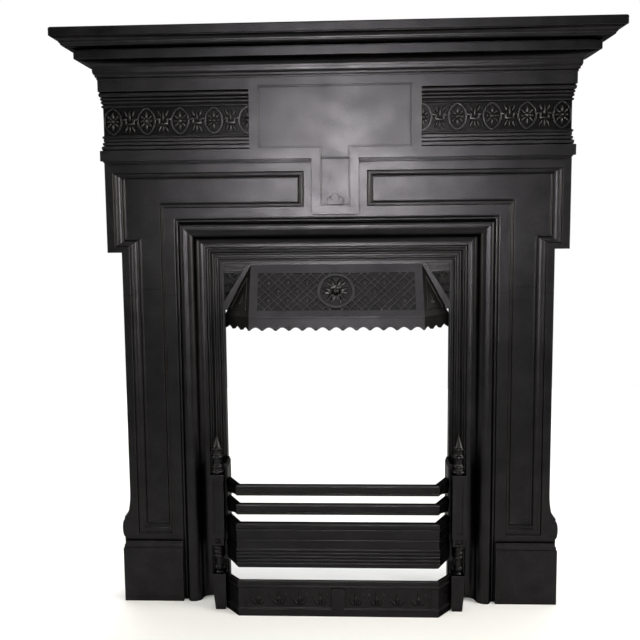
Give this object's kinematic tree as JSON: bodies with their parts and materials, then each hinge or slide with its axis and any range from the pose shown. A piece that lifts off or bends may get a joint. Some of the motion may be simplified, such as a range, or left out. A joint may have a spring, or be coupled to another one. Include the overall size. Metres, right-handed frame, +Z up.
{
  "type": "fireplace surround",
  "caption": "Cast-iron combination fireplace: panelled surround with a moulded shelf, a frieze of rosettes, a canopy hood, front bars on posts and an ash pan cover.",
  "frame": {"origin": "on the hearth, under the middle of the whole width and depth", "axes": "+Z up, +X to the right as seen from the front, the front faces -Y and the back lies in the plane of the wall on +Y"},
  "size_m": [1.12, 0.155, 1.219],
  "materials": {
    "blackened_iron": "sand-cast iron with a black graphite polish, satin with a fine grain"
  },
  "bodies": {
    "root": {"mantel_shelf": "blackened_iron", "surround": "blackened_iron", "canopy_hood": "blackened_iron", "fire_bars": "blackened_iron", "ash_pan_cover": "blackened_iron"}
  },
  "joints": []
}
